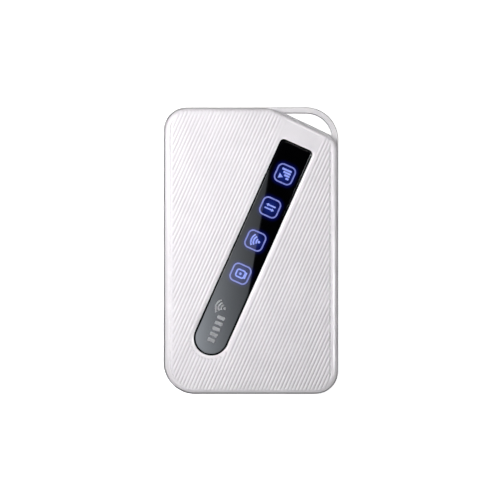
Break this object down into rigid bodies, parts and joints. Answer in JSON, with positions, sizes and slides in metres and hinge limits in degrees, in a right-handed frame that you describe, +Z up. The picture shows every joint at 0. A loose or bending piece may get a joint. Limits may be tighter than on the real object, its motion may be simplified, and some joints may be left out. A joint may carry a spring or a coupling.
{
  "type": "mobile hotspot",
  "caption": "Pocket mobile hotspot: flat rounded body, ribbed white front with a slanting black lamp window, grey side band drawn out into a strap bar, snap-off battery door.",
  "frame": {"origin": "centre of the battery door's flat underside, under the middle of the whole outline", "axes": "+Z up out of the ribbed front face as it lies on its back, +Y along its length towards the strap bar, +X towards the side buttons"},
  "size_m": [0.061, 0.1, 0.013],
  "materials": {
    "white_shell": "satin moulded white",
    "grey_band": "satin silver-grey",
    "graphite": "fine moulded texture",
    "window_black": "polished, tinted",
    "foam_black": "foam tape",
    "black_plastic": "moulded black",
    "light_guide": "clear with a frosted face",
    "led": "clear lamp body",
    "board": "solder mask",
    "steel": "tinned sheet",
    "gold": "gold-plated",
    "card": "white card",
    "battery_wrap": "printed film wrap",
    "label": "blank sticker"
  },
  "bodies": {
    "body": {"front_cover": "white_shell", "mid_frame": "grey_band", "rear_chassis": "graphite", "display_window": "window_black", "window_gasket": "foam_black", "light_baffle": "black_plastic", "icon_light_guide_1": "light_guide", "icon_light_guide_2": "light_guide", "icon_light_guide_3": "light_guide", "icon_light_guide_4": "light_guide", "icon_led_1": "led", "icon_led_2": "led", "icon_led_3": "led", "icon_led_4": "led", "main_board": "board", "modem_shield_can": "steel", "wifi_shield_can": "steel", "modem_chip": "black_plastic", "wifi_chip": "black_plastic", "main_antenna": "gold", "diversity_antenna": "gold", "wifi_antenna": "gold", "usb_port_shell": "steel", "usb_port_tongue": "black_plastic", "sim_socket": "steel", "battery_contact_block": "black_plastic", "bay_label": "label", "power_switch_body": "steel", "pairing_switch_body": "steel", "reset_switch_body": "steel", "chassis_screw_1": "steel", "chassis_screw_2": "steel", "chassis_screw_3": "steel", "chassis_screw_4": "steel", "chassis_screw_5": "steel", "chassis_screw_6": "steel"},
    "power_key": {"power_button": "white_shell", "power_switch_plunger": "black_plastic"},
    "pairing_key": {"pairing_button": "white_shell", "pairing_switch_plunger": "black_plastic"},
    "reset_key": {"reset_switch_plunger": "black_plastic"},
    "door": {"battery_door": "white_shell"},
    "battery": {"battery_pack": "battery_wrap", "battery_pad_1": "gold", "battery_pad_2": "gold", "battery_pad_3": "gold", "battery_pad_4": "gold"},
    "contacts": {"contact_blade_1": "gold", "contact_blade_2": "gold", "contact_blade_3": "gold", "contact_blade_4": "gold"},
    "card": {"sim_card": "card"}
  },
  "joints": [
    {"name": "power_press", "type": "slide", "parent": "body", "child": "power_key", "axis": [-1, 0, 0], "range_m": [0, 0.0003], "stiffness_N_per_m": 1500, "springref_m": -0.0002},
    {"name": "pairing_press", "type": "slide", "parent": "body", "child": "pairing_key", "axis": [-1, 0, 0], "range_m": [0, 0.0003], "stiffness_N_per_m": 1500, "springref_m": -0.0002},
    {"name": "reset_press", "type": "slide", "parent": "body", "child": "reset_key", "axis": [0, 1, 0], "range_m": [0, 0.00025], "stiffness_N_per_m": 1500, "springref_m": -0.0002},
    {"name": "door_pull", "type": "slide", "parent": "body", "child": "door", "axis": [0, 0, -1], "range_m": [0, 0.03]},
    {"name": "battery_lift", "type": "slide", "parent": "body", "child": "battery", "axis": [0, 0, -1], "range_m": [0, 0.015]},
    {"name": "contact_relax", "type": "slide", "parent": "body", "child": "contacts", "axis": [0, -1, 0], "range_m": [0, 0.0004]},
    {"name": "card_slide", "type": "slide", "parent": "body", "child": "card", "axis": [1, 0, 0], "range_m": [0, 0.014]}
  ],
  "couplings": [
    {"joint": "battery_lift", "follows": "door_pull", "ratio": 0.5},
    {"joint": "contact_relax", "follows": "door_pull", "ratio": 0.0133}
  ]
}
